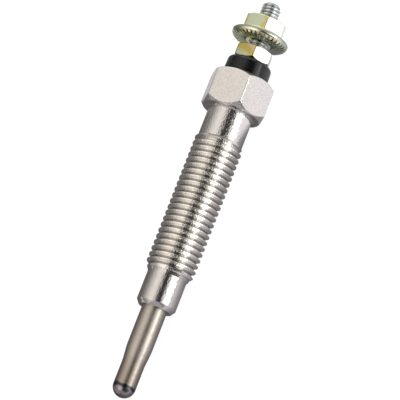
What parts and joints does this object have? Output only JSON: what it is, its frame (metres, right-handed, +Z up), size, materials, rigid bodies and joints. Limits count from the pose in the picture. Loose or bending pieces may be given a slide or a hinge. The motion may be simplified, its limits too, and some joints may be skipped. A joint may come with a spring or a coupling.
{
  "type": "diesel glow plug",
  "caption": "Sheathed glow plug for a diesel engine: domed heater tube, threaded body with conical seat and spanner hexagon, and an insulated stud with a serrated flange nut.",
  "frame": {"origin": "middle of the plug's box, on the surface that it lies on", "axes": "+X from the heater tip to the terminal, +Z up; the plug's own axis rises by 1.9 degrees along +X, because the plug rests on a flat of its hexagon and on the first turn of its thread"},
  "size_m": [0.0841, 0.0138, 0.0123],
  "materials": {
    "nickel_plate": "bright nickel plate over turned steel",
    "sheath_alloy": "satin heat-proof alloy, tinted blue-black at the tip",
    "heating_wire": "oxidised resistance wire",
    "regulating_wire": "drawn nickel-iron wire",
    "packed_powder": "packed magnesium oxide powder",
    "seal_rubber": "matt silicone rubber",
    "electrode_steel": "blue-white zinc plate",
    "ring_rubber": "matt fluorocarbon rubber",
    "phenolic": "semi-gloss black phenolic moulding",
    "clamp_nut_zinc": "yellow passivated zinc plate",
    "terminal_nut_zinc": "iridescent yellow passivated zinc plate"
  },
  "bodies": {
    "root": {"housing": "nickel_plate", "heater_sheath": "sheath_alloy", "heating_coil": "heating_wire", "regulating_coil": "regulating_wire", "insulating_powder": "packed_powder", "sheath_seal": "seal_rubber", "centre_electrode": "electrode_steel", "o_ring": "ring_rubber", "insulator_bush": "phenolic", "clamp_nut": "clamp_nut_zinc", "terminal_nut": "terminal_nut_zinc"}
  },
  "joints": []
}
